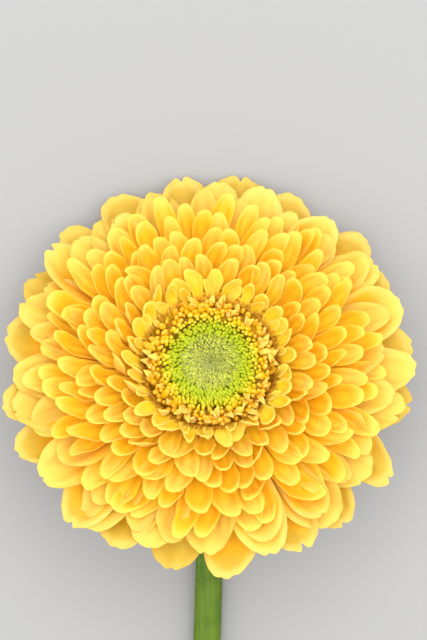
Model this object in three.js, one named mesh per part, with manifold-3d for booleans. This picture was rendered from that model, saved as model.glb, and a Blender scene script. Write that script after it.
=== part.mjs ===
// A cut double gerbera lying on a flat surface, in millimetres, +Z up. The leafless stem lies along -Y.
// Its neck bends up, and the face of the flower looks up and leans towards +Y, so that the flower rests
// on the flat underside of its stem and on the tips of its lowest ray florets. The origin is on that
// surface, under the stem, just before the neck lifts. The head has a frame of its own: its axis is Z,
// and its origin is the middle of the receptacle's upper face.
import * as THREE from "three";
import { mergeVertices } from "three/addons/utils/BufferGeometryUtils.js";
import Module from "manifold-3d";

const wasm = await Module();
wasm.setup();

// Driving dimensions
const HEAD_RADIUS = 52; // to the tips of the longest ray florets
const HEAD_TILT = 26; // degrees by which the face leans away from looking straight up
const STEM_LENGTH = 262; // from the cut end to the origin
const NECK_LEAD = 5; // from the origin to where the neck lifts
const NECK_BEND_RADIUS = 21;
const FOOT_RADIUS = 4.1; // of the stem at its cut end
const NECK_RADIUS = 3.5; // of the stem where the neck lifts
const CALYX_RADIUS = 4; // of the stem where it meets the calyx
const CALYX_DEPTH = 10; // from the receptacle's upper face down to the stem
const PLAY = 0.35; // clear space kept between neighbouring pieces
const SURFACE_GAP = 0.02; // between the lowest florets and the surface
const SEED = 2024; // of the small differences between florets

const STEM_SIDES = 12;
const STEM_STEPS = 22;
const NECK_STEPS = 7; // of the stem's steps, those in its neck
const STEM_BOW = 3.2; // how far the stem strays sideways

const { degToRad, lerp } = THREE.MathUtils;
const LEAN = degToRad(HEAD_TILT);
const NECK_TURN = Math.PI / 2 - LEAN;

// The height of the stem's midline over the surface, where one of its flat sides lies on it.
const restHeight = (radius) => radius * Math.cos(Math.PI / STEM_SIDES);

// Where the head's origin is
const HEAD = {
  y: NECK_LEAD + NECK_BEND_RADIUS * Math.sin(NECK_TURN) + CALYX_DEPTH * Math.sin(LEAN),
  z: restHeight(NECK_RADIUS) + NECK_BEND_RADIUS * (1 - Math.cos(NECK_TURN)) + CALYX_DEPTH * Math.cos(LEAN),
};

// Lehmer's random numbers from 0 to 1, alike on every run.
function randomNumbers(seed) {
  let state = seed;
  return () => {
    state = (state * 48271) % 2147483647;
    return state / 2147483647;
  };
}

// A random number from -1 to 1.
const either = (random) => 2 * random() - 1;

// A geometry as a solid that can be joined. Faces that close up to a line, as at a turned body's poles,
// are left out.
function solidOf(geometry) {
  geometry.deleteAttribute("normal");
  geometry.deleteAttribute("uv");
  const merged = mergeVertices(geometry, 1e-4);
  const corners = merged.index.array;
  const kept = [];
  for (let i = 0; i < corners.length; i += 3) {
    const [a, b, c] = corners.slice(i, i + 3);
    if (a !== b && b !== c && c !== a) kept.push(a, b, c);
  }
  return new wasm.Manifold(
    new wasm.Mesh({
      numProp: 3,
      vertProperties: merged.attributes.position.array,
      triVerts: new Uint32Array(kept),
    }),
  );
}

// Several solids joined into one geometry. Only the outer shell is kept, so a hollow that the joining
// seals is filled.
function fused(solids) {
  const shells = wasm.Manifold.union(solids).decompose();
  const body = shells.reduce((largest, shell) => (shell.volume() > largest.volume() ? shell : largest));
  const { vertProperties, triVerts } = body.getMesh();
  const geometry = new THREE.BufferGeometry();
  geometry.setAttribute("position", new THREE.BufferAttribute(vertProperties, 3));
  geometry.setIndex(new THREE.BufferAttribute(triVerts, 1));
  geometry.computeVertexNormals();
  return geometry;
}

// A body turned about the head's axis. Its [radius, height] corners run anticlockwise and start and end
// on the axis, or close on themselves.
function turned(corners, sides) {
  const profile = corners.map(([radius, height]) => new THREE.Vector2(radius, height));
  return new THREE.LatheGeometry(profile, sides).rotateX(Math.PI / 2);
}

// Blades

// A thin closed blade along spine, a curve of (distance from the head's axis, height). Each station of
// its outline is a shallow trough of four points: two raised edges and the midline's lower and upper
// face. It starts at a flat claw, and ends in a point, or in two lobes beside a notch.
function blade({ spine, width, outline, trough, thickness, tip }) {
  const points = [];
  const faces = [];
  const place = (along, side, lift) => {
    const at = spine.getPoint(along);
    const heading = spine.getTangent(along);
    points.push(at.x - heading.y * lift, side, at.y + heading.x * lift);
    return points.length / 3 - 1;
  };
  const stations = outline.map(([along, share]) => [
    place(along, (-share * width) / 2, trough * share ** 2),
    place(along, 0, -thickness / 2),
    place(along, (share * width) / 2, trough * share ** 2),
    place(along, 0, thickness / 2),
  ]);
  for (let s = 1; s < stations.length; s++)
    for (let k = 0; k < 4; k++) {
      const [a, b] = [stations[s - 1][k], stations[s - 1][(k + 1) % 4]];
      const [c, d] = [stations[s][k], stations[s][(k + 1) % 4]];
      faces.push(a, b, d, a, d, c);
    }
  const first = stations[0];
  faces.push(first[0], first[3], first[1], first[1], first[3], first[2]);
  const [left, under, right, over] = stations.at(-1);
  if (tip.spread) {
    const side = (tip.spread * width) / 2;
    const lobes = [place(1, -side, trough * tip.spread), place(1, side, trough * tip.spread)];
    const [low, high] = [-1, 1].map((face) => place(1 - tip.notch, 0, (face * thickness) / 3));
    faces.push(left, lobes[0], high, left, high, over, over, high, lobes[1], over, lobes[1], right);
    faces.push(left, low, lobes[0], left, under, low, under, lobes[1], low, under, right, lobes[1]);
    faces.push(lobes[0], low, high, lobes[1], high, low);
  } else {
    const point = place(1, 0, trough / 2);
    faces.push(left, point, over, over, point, right, right, point, under, under, point, left);
  }
  const geometry = new THREE.BufferGeometry();
  geometry.setAttribute("position", new THREE.Float32BufferAttribute(points, 3));
  geometry.setIndex(faces);
  return geometry;
}

// Bends a blade of the head up from its root, until no part of it is below the surface that the flower
// lies on.
function laidOnSurface(geometry, root) {
  const position = geometry.attributes.position;
  const reach = (i) => Math.max(0, Math.hypot(position.getX(i), position.getY(i)) - root);
  const height = (i) => HEAD.z - position.getY(i) * Math.sin(LEAN) + position.getZ(i) * Math.cos(LEAN);
  for (let pass = 0; pass < 4; pass++) {
    let lowest = 0;
    for (let i = 1; i < position.count; i++) if (height(i) < height(lowest)) lowest = i;
    if (height(lowest) >= SURFACE_GAP) break;
    const bend = (SURFACE_GAP - height(lowest)) / reach(lowest) ** 2;
    for (let i = 0; i < position.count; i++) {
      const raise = bend * reach(i) ** 2;
      position.setY(i, position.getY(i) - raise * Math.sin(LEAN));
      position.setZ(i, position.getZ(i) + raise * Math.cos(LEAN));
    }
  }
  return geometry;
}

// One ring of blades round the head's axis. base, crest and tip are [distance from the axis, height], and
// the arch bends round the crest. Each blade is rolled, so that one edge lies over its neighbour and one
// under. vary says how far the blades differ in length, lift, heading and roll.
function whorl({ count, turn, base, crest, tip, roll: lap, vary, kind, ...size }, random) {
  const step = (2 * Math.PI) / count;
  return Array.from({ length: count }, (_, i) => {
    const stretch = 1 + vary.length * either(random);
    const lift = vary.lift * either(random);
    const heading = (i + turn + vary.heading * either(random)) * step;
    const roll = lap + vary.roll * either(random);
    const reach = ([radius, height], share) =>
      new THREE.Vector2(base[0] + (radius - base[0]) * stretch, height + lift * share);
    const root = new THREE.Vector2(...base);
    const spine = new THREE.QuadraticBezierCurve(root, reach(crest, 0.5), reach(tip, 1));
    const geometry = blade({ spine, ...kind, ...size });
    geometry.translate(0, 0, -base[1]).rotateX(roll).translate(0, 0, base[1]);
    return solidOf(laidOnSurface(geometry.rotateZ(heading), base[0]));
  });
}

// Florets. An outline lists [share of the length, share of the full width].

const RAY = {
  outline: [[0, 0.26], [0.27, 0.6], [0.52, 0.88], [0.74, 1], [0.92, 0.74]],
  tip: { spread: 0.4, notch: 0.02 },
  thickness: 0.9,
};
const RAY_VARY = { length: 0.04, lift: 0.6, heading: 0.05, roll: 0.02 };
const RAY_WHORLS = [
  { turn: 0.5, base: [13.8, -0.3], crest: [32, 2.4], tip: [HEAD_RADIUS, -2.2], width: 15, trough: 0.7 },
  { turn: 0, base: [14.8, 0.8], crest: [31.5, 4.6], tip: [HEAD_RADIUS - 1.8, 1.4], width: 14.4, trough: 1 },
].map((ring) => ({ ...ring, count: 20, roll: 0.11, kind: RAY, vary: RAY_VARY }));

const LIGULE = {
  outline: [[0, 0.3], [0.66, 1], [0.9, 0.7]],
  tip: {},
  thickness: 0.8,
};
const LIGULE_VARY = { length: 0.05, lift: 0.35, heading: 0.08, roll: 0.03 };
const LIGULE_COUNTS = [37, 36, 35, 33, 31];

// From the outermost ring of short florets to the innermost, the tips climb a dome.
const LIGULE_WHORLS = LIGULE_COUNTS.map((count, ring) => {
  const inward = ring / (LIGULE_COUNTS.length - 1);
  const climb = Math.sin((inward * Math.PI) / 2);
  return {
    count,
    turn: ring / 2,
    base: [lerp(15.8, 17.7, inward), lerp(2.9, 7.2, inward)],
    crest: [lerp(32, 23.6, inward), lerp(6.6, 9.6, inward)],
    tip: [lerp(44, 28, inward), lerp(6.2, 14.5, climb)],
    width: lerp(6.2, 4.7, inward),
    trough: lerp(1.3, 1, inward),
    roll: 0.12,
    kind: LIGULE,
    vary: LIGULE_VARY,
  };
});

const INNER_VARY = { length: 0.3, lift: 1, heading: 0.15, roll: 0.05 };
const INNER_WHORLS = [
  { count: 30, turn: 0.25, base: [17.25, 9.2], crest: [19.6, 11], tip: [22.8, 15.4], width: 3.9 },
  { count: 18, turn: 0.5, base: [17.2, 9.3], crest: [18.3, 11.2], tip: [19.8, 14], width: 2.7 },
].map((ring) => ({ ...ring, trough: 0.9, roll: 0.14, kind: LIGULE, vary: INNER_VARY }));

// Seats of the pieces in the head, as heights in its frame
const PLATE = { low: -0.9, high: 1.6 };
const COLLAR = { low: PLATE.high + PLAY, high: 8.4 };
const INNER_RING = { low: COLLAR.high + PLAY, high: 9.9 };

function rayFlorets(random) {
  const { low, high } = PLATE;
  const plate = turned([[0, low], [15.4, low], [17, 0.3], [16.8, high], [0, high]], 40);
  return fused([solidOf(plate), ...RAY_WHORLS.flatMap((ring) => whorl(ring, random))]);
}

function transFlorets(random) {
  const { low, high } = COLLAR;
  const collar = turned([[12.3, low], [15.8, low], [19.1, high], [16.9, high], [12.3, low]], 32);
  return fused([solidOf(collar), ...LIGULE_WHORLS.flatMap((ring) => whorl(ring, random))]);
}

function innerFlorets(random) {
  const { low, high } = INNER_RING;
  const section = [[16.7, low], [17.85, low], [17.9, high], [16.9, high], [16.7, low]];
  const hoop = turned(section, 30);
  return fused([solidOf(hoop), ...INNER_WHORLS.flatMap((ring) => whorl(ring, random))]);
}

// Disc

// Raises every second point of each row of a turned body, so that the rows stand as staggered buds. The
// rows are the profile's points from the first to the last, and lift gives how far a row's buds stand
// out.
function withBuds(geometry, rowCount, [first, last], lift) {
  const position = geometry.attributes.position;
  for (let i = 0; i < position.count; i++) {
    const row = i % rowCount;
    const column = Math.floor(i / rowCount);
    if (row < first || row > last || (row + column) % 2) continue;
    position.setZ(i, position.getZ(i) + lift(row));
  }
  return geometry;
}

const HEART = { radius: 10.6, high: 9.6, sag: 1.7, dimple: 1.1, dimpleRadius: 2.2, rows: 9, buds: 20 };

// The unopened buds in the middle of the disc: a low dome with a dimple, covered with buds in rings that
// stand out further towards the edge.
function greenHeart() {
  const { radius, high, sag, dimple, dimpleRadius } = HEART;
  const wall = [[0, COLLAR.low], [7.4, COLLAR.low], [radius + 0.4, 7.4]];
  const outward = (row) => 1 - (row + 0.5) / HEART.rows;
  const rows = Array.from({ length: HEART.rows }, (_, row) => {
    const at = radius * outward(row);
    return [at, high - sag * outward(row) ** 2 - dimple * Math.exp(-((at / dimpleRadius) ** 2))];
  });
  const corners = [...wall, ...rows, [0, high - dimple]];
  const body = turned(corners, 2 * HEART.buds);
  const first = wall.length;
  return withBuds(body, corners.length, [first, first + HEART.rows - 1], (row) => 0.5 + outward(row - first));
}

const DISC_RIM = { buds: 30, radius: 14.8, budRadius: 1.25, lean: 0.35 };

// The florets that are opening, in a ring round the heart: rows of buds, and at the rim round heads that
// stand up.
function discFlorets(random) {
  const { low } = COLLAR;
  const inside = [[11.4, 7.5], [7.9, low]];
  const outside = [[7.9, low], [11.7, low], [15.6, 7.3]];
  const rows = [[14.9, 8.1], [14, 8.4], [13.1, 8.7], [12.2, 8.9]];
  const corners = [...outside, ...rows, ...inside];
  const body = turned(corners, 2 * DISC_RIM.buds);
  withBuds(body, corners.length, [outside.length, outside.length + rows.length - 1], () => 1.2);
  const heads = Array.from({ length: DISC_RIM.buds }, (_, i) => {
    const size = DISC_RIM.budRadius * (1 + 0.15 * either(random));
    const head = new THREE.OctahedronGeometry(size).scale(1, 1, 1.5).rotateY(DISC_RIM.lean);
    head.translate(DISC_RIM.radius + 0.2 * either(random), 0, 9.2 + 0.4 * either(random));
    return solidOf(head.rotateZ(((i + 0.2 * either(random)) * 2 * Math.PI) / DISC_RIM.buds));
  });
  return fused([solidOf(body), ...heads]);
}

// Calyx

const BRACT = { outline: [[0, 0.8], [0.5, 1]], tip: {}, thickness: 0.9 };
const BRACT_VARY = { length: 0.06, lift: 0.25, heading: 0.1, roll: 0.05 };
const BRACT_WHORLS = [
  { count: 16, turn: 0, base: [9.5, -7], crest: [14.6, -5.2], tip: [18, -2.6], width: 3.6 },
  { count: 12, turn: 0.5, base: [6.2, -9.2], crest: [11.2, -8.4], tip: [15.6, -5.2], width: 3.3 },
].map((ring) => ({ ...ring, trough: 0.4, roll: 0, kind: BRACT, vary: BRACT_VARY }));

// The involucre: a cup round the underside of the head, with two rings of narrow bracts.
function involucre(random) {
  const top = PLATE.low - PLAY;
  const wall = [[4.4, -CALYX_DEPTH], [7.2, -9], [11, -6.2], [13.6, -3.2], [14.2, top]];
  const cup = turned([[0, -CALYX_DEPTH], ...wall, [0, top]], 18);
  return fused([solidOf(cup), ...BRACT_WHORLS.flatMap((ring) => whorl(ring, random))]);
}

// Stem

// The radius of the stem at a distance along it from the origin.
function stemRadius(run) {
  const lift = Math.max(0, run - NECK_LEAD) / (NECK_TURN * NECK_BEND_RADIUS);
  const taper = Math.max(0, NECK_LEAD - run) / (STEM_LENGTH + NECK_LEAD);
  return NECK_RADIUS + (FOOT_RADIUS - NECK_RADIUS) * taper + (CALYX_RADIUS - NECK_RADIUS) * lift ** 2;
}

// A cylinder bent along the stem: straight and flat on the surface, bowed a little sideways, and then up
// the neck, where its steps are shorter.
function stem() {
  const neck = NECK_TURN * NECK_BEND_RADIUS - PLAY;
  const geometry = new THREE.CylinderGeometry(1, 1, 1, STEM_SIDES, STEM_STEPS, false, Math.PI / STEM_SIDES);
  const position = geometry.attributes.position;
  for (let i = 0; i < position.count; i++) {
    const step = (0.5 - position.getY(i)) * STEM_STEPS;
    const lying = Math.max(0, step - NECK_STEPS) / (STEM_STEPS - NECK_STEPS);
    const run = NECK_LEAD + neck * Math.max(0, 1 - step / NECK_STEPS) - (STEM_LENGTH + NECK_LEAD) * lying;
    const back = Math.min(run, NECK_LEAD);
    const turn = (run - back) / NECK_BEND_RADIUS;
    const bow = STEM_BOW * Math.sin((Math.PI * Math.min(back, 0)) / STEM_LENGTH) ** 2;
    const [side, over] = [position.getX(i), position.getZ(i)].map((share) => share * stemRadius(run));
    const rise = restHeight(stemRadius(back)) + NECK_BEND_RADIUS * (1 - Math.cos(turn));
    const along = back + NECK_BEND_RADIUS * Math.sin(turn);
    position.setXYZ(i, side - bow, along - over * Math.sin(turn), rise + over * Math.cos(turn));
  }
  geometry.computeVertexNormals();
  return geometry;
}

// Assembly

function petalMaterial(color) {
  return new THREE.MeshStandardMaterial({ color, roughness: 0.55, metalness: 0, flatShading: true });
}

function greenMaterial(color) {
  return new THREE.MeshStandardMaterial({ color, roughness: 0.75, metalness: 0, flatShading: true });
}

function named(name, geometry, material) {
  const mesh = new THREE.Mesh(geometry, material);
  mesh.name = name;
  return mesh;
}

const random = randomNumbers(SEED);
const head = new THREE.Group();
head.add(
  named("involucre", involucre(random), greenMaterial("#6f8c38")),
  named("ray_florets", rayFlorets(random), petalMaterial("#fcdb6e")),
  named("trans_florets", transFlorets(random), petalMaterial("#fbcb3e")),
  named("inner_florets", innerFlorets(random), petalMaterial("#f1c625")),
  named("disc_florets", discFlorets(random), petalMaterial("#d3b82e")),
  named("green_heart", greenHeart(), greenMaterial("#bcc33c")),
);
head.position.set(0, HEAD.y, HEAD.z);
head.rotation.x = -LEAN;

const gerbera = new THREE.Group();
gerbera.add(named("stem", stem(), greenMaterial("#74922e")), head);

export default gerbera;
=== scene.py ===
"""A cut double gerbera lying on a pale surface: the looks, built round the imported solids.

The stem lies along -Y and the face of the bloom looks up. Lengths are in millimetres until a mesh is
made. The bloom has a frame of its own, whose Z is the bloom's axis and whose origin is the middle of its
receptacle.
"""

import math

import bpy
import numpy as np
from bpy.props import FloatProperty, FloatVectorProperty, IntProperty, PointerProperty
from mathutils import Matrix, Vector

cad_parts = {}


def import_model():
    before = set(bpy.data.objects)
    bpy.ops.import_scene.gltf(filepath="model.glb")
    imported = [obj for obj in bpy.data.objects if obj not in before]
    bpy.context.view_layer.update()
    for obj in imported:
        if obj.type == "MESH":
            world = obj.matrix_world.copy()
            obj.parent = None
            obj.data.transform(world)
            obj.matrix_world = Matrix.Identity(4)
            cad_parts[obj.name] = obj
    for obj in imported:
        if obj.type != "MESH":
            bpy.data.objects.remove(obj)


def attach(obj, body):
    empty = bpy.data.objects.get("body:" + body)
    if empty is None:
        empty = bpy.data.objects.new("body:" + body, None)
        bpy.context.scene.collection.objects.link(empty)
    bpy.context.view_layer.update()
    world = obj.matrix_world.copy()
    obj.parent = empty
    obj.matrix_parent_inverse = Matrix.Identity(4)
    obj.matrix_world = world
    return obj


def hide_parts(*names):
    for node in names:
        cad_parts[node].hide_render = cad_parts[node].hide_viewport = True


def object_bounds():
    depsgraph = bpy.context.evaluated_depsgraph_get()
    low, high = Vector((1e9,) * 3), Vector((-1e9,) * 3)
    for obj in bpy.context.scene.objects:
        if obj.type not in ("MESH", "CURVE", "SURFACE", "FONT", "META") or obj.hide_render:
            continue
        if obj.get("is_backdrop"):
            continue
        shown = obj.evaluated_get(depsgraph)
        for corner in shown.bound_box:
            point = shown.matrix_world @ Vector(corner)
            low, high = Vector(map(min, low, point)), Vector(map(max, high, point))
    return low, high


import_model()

bl_info = {
    "name": "Cut gerbera",
    "version": (1, 0, 0),
    "blender": (4, 5, 0),
    "location": "View3D > Sidebar > Gerbera",
    "description": "Builds a cut double gerbera lying down, floret by floret",
    "category": "Object",
}

MM = 0.001
CAD_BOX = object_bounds()
PHOTO = (427, 640)  # width and height of the picture, in pixels

# The places that the solids are built on
HEAD_RADIUS = 52
LEAN = math.radians(26)
NECK_TURN = math.pi / 2 - LEAN
STEM_LENGTH = 262
NECK_LEAD = 5
NECK_BEND_RADIUS = 21
FOOT_RADIUS = 4.1
NECK_RADIUS = 3.5
CALYX_RADIUS = 4.0
CALYX_DEPTH = 10
STEM_BOW = 3.2
STEM_SIDES = 12  # of the solid stem
PLAY = 0.35
SURFACE_GAP = 0.02
SEED = 2024
SEEDS = {
    "rays": 69, "half_long": 31, "half_long_blades": 7, "heart": 5, "disc": 6, "pappus": 9,
    "stem_hairs": 12, "bract_hairs": 21,
}
# Heights of the seats in the head, and edges of the disc's two parts, in the bloom's frame
PLATE_LOW, PLATE_HIGH = -0.9, 1.6
COLLAR_LOW, COLLAR_HIGH = PLATE_HIGH + PLAY, 8.4
RING_LOW = COLLAR_HIGH + PLAY
HEART_EDGE = 11.2
DISC_EDGE = 16.4
LOBES_EDGE = 13.2  # the open buds stand outside it
GAP_RING = (15.4, 17.6)  # the bristles stand in it, between the disc and the inner florets


def rest_height(radius):
    """The height of the stem's midline over the surface that it lies on."""
    return radius * math.cos(math.pi / STEM_SIDES)


HEAD_Y = NECK_LEAD + NECK_BEND_RADIUS * math.sin(NECK_TURN) + CALYX_DEPTH * math.sin(LEAN)
HEAD_Z = (
    rest_height(NECK_RADIUS) + NECK_BEND_RADIUS * (1 - math.cos(NECK_TURN)) + CALYX_DEPTH * math.cos(LEAN)
)


def linear(code):
    """A colour such as "#fcdb6e" in the linear values that shaders use."""
    channels = [int(code[i : i + 2], 16) / 255 for i in (1, 3, 5)]
    return tuple(c / 12.92 if c <= 0.04045 else ((c + 0.055) / 1.055) ** 2.4 for c in channels)


def colour_property(name, code, description):
    """A colour that the user may change, with its default given as a web colour."""
    return FloatVectorProperty(
        name=name, description=description, subtype="COLOR", size=3, min=0, max=1, default=linear(code)
    )


def length_property(name, default, low, description):
    """A length in millimetres that the user may change."""
    return FloatProperty(name=name, description=description + ", in mm", default=default, min=low)


def count_property(name, default, description):
    """A number of hairs that the user may change."""
    return IntProperty(name=name, description=description, default=default, min=0)


class GerberaSizes(bpy.types.PropertyGroup):
    """The sizes that a user would change without leaving the form of the solids."""

    floret_thickness: length_property("Floret thickness", 0.5, 0.2, "Thickness along a floret's middle")
    rim_thickness: length_property("Rim thickness", 0.45, 0.05, "Thickness of a floret at its edge")
    bud_width: length_property("Bud width", 0.98, 0.5, "Width of an unopened bud of the green heart")
    hair_length: length_property("Hair length", 1.1, 0, "Length of the longest hairs of stem and bracts")
    hair_width: length_property("Hair width", 0.05, 0.01, "Width of such a hair at its root")
    bristle_width: length_property("Bristle width", 0.085, 0.01, "Width of a pappus bristle at its root")
    fuzz_width: length_property("Fuzz width", 0.1, 0.01, "Width of a hair of the heart at its root")
    stem_hairs: count_property("Stem hairs", 5200, "How many hairs the stem has, at most")
    bract_hairs: count_property("Bract hairs", 2400, "How many hairs the involucre has")
    bristles: count_property("Bristles", 7000, "How many pappus bristles stand round the disc, at most")
    fuzz: count_property("Fuzz", 3000, "How many pale hairs cover the middle of the heart")


class GerberaColours(bpy.types.PropertyGroup):
    """The colours of the flower's tissues."""

    # The ray root colour is the florets' own orange, made deeper as painted shade of the throat under the
    # florets above.
    ray_root_and_throat_shade: colour_property("Ray root", "#ffd028", "Root of a ray floret")
    ray_blade: colour_property("Ray blade", "#f4dc62", "Blade of a ray floret")
    # Painted shade: the outermost ring's blades are darker, standing in for the shade on that lower ring
    # behind the next.
    ray_back_row_shade: colour_property("Ray back", "#e0c244", "Blade of a floret of the outermost ring")
    # Painted highlight: the paler rim where a ray floret's raised edge catches the light.
    ray_rim_highlight: colour_property("Ray rim", "#f8e480", "Thin rim of a ray floret")
    # This colour paints the ray floret's veins, and also paints its grooves darker as painted shade in the
    # furrows.
    ray_vein_and_groove_shade: colour_property("Ray veins", "#e8bc48", "Veins and grooves of a ray floret")
    # The gold root colour is the florets' own orange, made deeper as painted shade of the throat under the
    # florets above.
    gold_root_and_throat_shade: colour_property("Gold root", "#ffdc20", "Root of a short floret")
    gold_blade: colour_property("Gold blade", "#ffe93a", "Blade of a short floret")
    gold_tip: colour_property("Gold tip", "#fff07c", "Tip of a short floret")
    # Painted highlight: the paler rim where a short floret's raised edge catches the light.
    gold_rim_highlight: colour_property("Gold rim", "#fff27c", "Rim of a short floret")
    # This colour paints the short floret's veins, and also paints its grooves darker as painted shade in
    # the furrows.
    gold_vein_and_groove_shade: colour_property("Gold veins", "#fcbc20", "Veins and grooves of a short floret")
    lemon_blade: colour_property("Lemon blade", "#ffe01c", "Blade of an inner floret")
    lemon_tip: colour_property("Lemon tip", "#ffea58", "Tip of an inner floret")
    underside: colour_property("Underside", "#fbe695", "Underside of all florets")
    heart_pale: colour_property("Heart middle", "#ccd05a", "Youngest buds in the middle of the heart")
    heart_green: colour_property("Heart green", "#a8b61e", "Green buds of the heart")
    # Painted shade: the dark green of the dimple and of the gaps between the green buds.
    heart_shade: colour_property("Heart shade", "#94a41c", "Gaps between the green buds, and the dimple")
    heart_lime: colour_property("Heart lime", "#c6be1e", "Outer buds of the heart")
    bud_yellow: colour_property("Bud yellow", "#dcb80e", "Buds that are about to open")
    bud_orange: colour_property("Bud orange", "#e4aa12", "Open buds at the rim of the disc")
    lobe_pale: colour_property("Lobe", "#f8dc62", "Pale lobes of the open buds")
    bed: colour_property("Bed", "#d49c14", "Tissue between the florets")
    # Painted shade: the dark brown seen in the gaps between the buds of the disc.
    bed_shade: colour_property("Bed shade", "#8a6410", "Gaps between the buds of the disc")
    bristle: colour_property("Bristle", "#d0942a", "Pappus bristles")
    fuzz: colour_property("Fuzz", "#e6ea88", "Pale pappus of the youngest buds")
    stem: colour_property("Stem", "#58740e", "Skin of the stem")
    stem_dark: colour_property("Stem shade", "#44620a", "Darker streaks of the stem")
    bract: colour_property("Bract", "#6f8f3a", "Bracts of the involucre")
    bract_tip: colour_property("Bract tip", "#8a7a45", "Tips of the bracts")
    hair: colour_property("Hair", "#d3dcb0", "Hairs of the stem and the bracts")
    pith: colour_property("Pith", "#cdd9a0", "Cut face of the stem")
    floor: colour_property("Floor", "#999999", "Surface that the flower lies on")


def sizes():
    return bpy.context.scene.gerbera_sizes


def colours():
    return bpy.context.scene.gerbera_colours


# Random draws


def lehmer(seed):
    """The random numbers from 0 to 1 that also vary the blades of the solids."""
    state = seed
    while True:
        state = state * 48271 % 2147483647
        yield state / 2147483647


BLADE_DRAWS = lehmer(SEED)


def either(draws):
    """A random number from -1 to 1."""
    return 2 * next(draws) - 1


def lerp(start, end, share):
    return start + (end - start) * share


def smoothstep(low, high, x):
    t = np.clip((x - low) / (high - low), 0, 1)
    return t * t * (3 - 2 * t)


# Blanks: one small closed mesh of each kind of repeated piece


class Blank:
    """The vertices, faces and UVs of a mesh, kept as arrays to copy from. The mesh's object goes."""

    def __init__(self, piece):
        mesh = piece.data
        self.verts = np.array([v.co for v in mesh.vertices])
        self.faces = [tuple(p.vertices) for p in mesh.polygons]
        layer = mesh.uv_layers.active.data
        self.uvs = np.array([layer[i].uv for p in mesh.polygons for i in p.loop_indices])
        bpy.data.objects.remove(piece)


def deselect():
    """Leaves edit mode, and selects nothing."""
    if bpy.context.object and bpy.context.object.mode != "OBJECT":
        bpy.ops.object.mode_set(mode="OBJECT")
    bpy.ops.object.select_all(action="DESELECT")


def apply_modifier(piece, kind, **settings):
    """Changes the active piece by a modifier of this kind."""
    modifier = piece.modifiers.new(kind.lower(), kind)
    for name, value in settings.items():
        setattr(modifier, name, value)
    bpy.ops.object.modifier_apply(modifier=modifier.name)


def slab(across, along):
    """A slab whose x runs -1 to 1 across it, y -1 to 1 from root to tip, and z is -1 below, 1 above."""
    deselect()
    bpy.ops.mesh.primitive_grid_add(x_subdivisions=across, y_subdivisions=along, size=2)
    piece = bpy.context.object
    apply_modifier(piece, "SOLIDIFY", thickness=2, offset=0)
    return piece


def bud_ball(segments, rings):
    """A round bud of radius 1 about the origin."""
    deselect()
    bpy.ops.mesh.primitive_uv_sphere_add(segments=segments, ring_count=rings, radius=1)
    return bpy.context.object


def hair_blank(joints):
    """A three-sided prism of radius 1 from z = 0 to 1, cut across at its joints to bend there."""
    deselect()
    bpy.ops.mesh.primitive_cylinder_add(vertices=3, radius=1, depth=1, location=(0, 0, 0.5))
    piece = bpy.context.object
    bpy.ops.object.transform_apply(location=True)
    bpy.ops.object.mode_set(mode="EDIT")
    for joint in range(1, joints):
        bpy.ops.mesh.select_all(action="SELECT")
        bpy.ops.mesh.bisect(plane_co=(0, 0, joint / joints), plane_no=(0, 0, 1))
    bpy.ops.object.mode_set(mode="OBJECT")
    return Blank(piece)


# Pieces

TO_WORLD = Matrix.Translation((0, HEAD_Y, HEAD_Z)) @ Matrix.Rotation(-LEAN, 4, "X")


def world(points):
    """Points of the bloom's frame in the frame of the whole flower."""
    turn = np.array(TO_WORLD.to_3x3())
    return points @ turn.T + np.array(TO_WORLD.translation)


def finish_piece(piece, node, material):
    """Gives a finished piece its material and its body, and hides the solid that it stands for."""
    piece.data.materials.clear()
    piece.data.materials.append(material)
    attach(piece, "root")
    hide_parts(node)


def new_piece(name, verts, edges, faces):
    """A mesh object in the scene."""
    mesh = bpy.data.meshes.new(name)
    mesh.from_pydata(verts, edges, faces)
    piece = bpy.data.objects.new(name, mesh)
    bpy.context.collection.objects.link(piece)
    return piece


def grown(name, blank, shapes, tones, stretch=1.0):
    """One mesh of many copies of a blank.

    shapes holds each copy's vertices in the whole flower's frame, in millimetres. tones is a table of the
    copies' own numbers, which materials read as attributes. Each copy has its own cell of the map that its
    colours are baked on, and stretch is the width of a cell's contents over their height.
    """
    count, size = len(shapes), len(blank.verts)
    verts = np.concatenate(shapes) * MM
    faces = [tuple(i + copy * size for i in face) for copy in range(count) for face in blank.faces]
    piece = new_piece(name, verts.tolist(), [], faces)
    mesh = piece.data

    rows = max(1, round(math.sqrt(count * stretch)))
    columns = math.ceil(count / rows)
    cells = np.array([(copy % columns, copy // columns) for copy in range(count)])
    cell_uvs = (cells[:, None, :] + 0.04 + 0.92 * blank.uvs[None]) / (columns, rows)
    baked = mesh.uv_layers.new(name="OFBake")
    baked.data.foreach_set("uv", cell_uvs.reshape(-1).astype(np.float32))
    for key, values in tones.items():
        attribute = mesh.attributes.new(key, "FLOAT", "POINT")
        own = np.asarray(values, dtype=np.float32).reshape(count, -1)
        flat = np.broadcast_to(own, (count, size))
        attribute.data.foreach_set("value", np.ascontiguousarray(flat).reshape(-1))
    mesh.shade_smooth()
    return piece


# Florets


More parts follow.
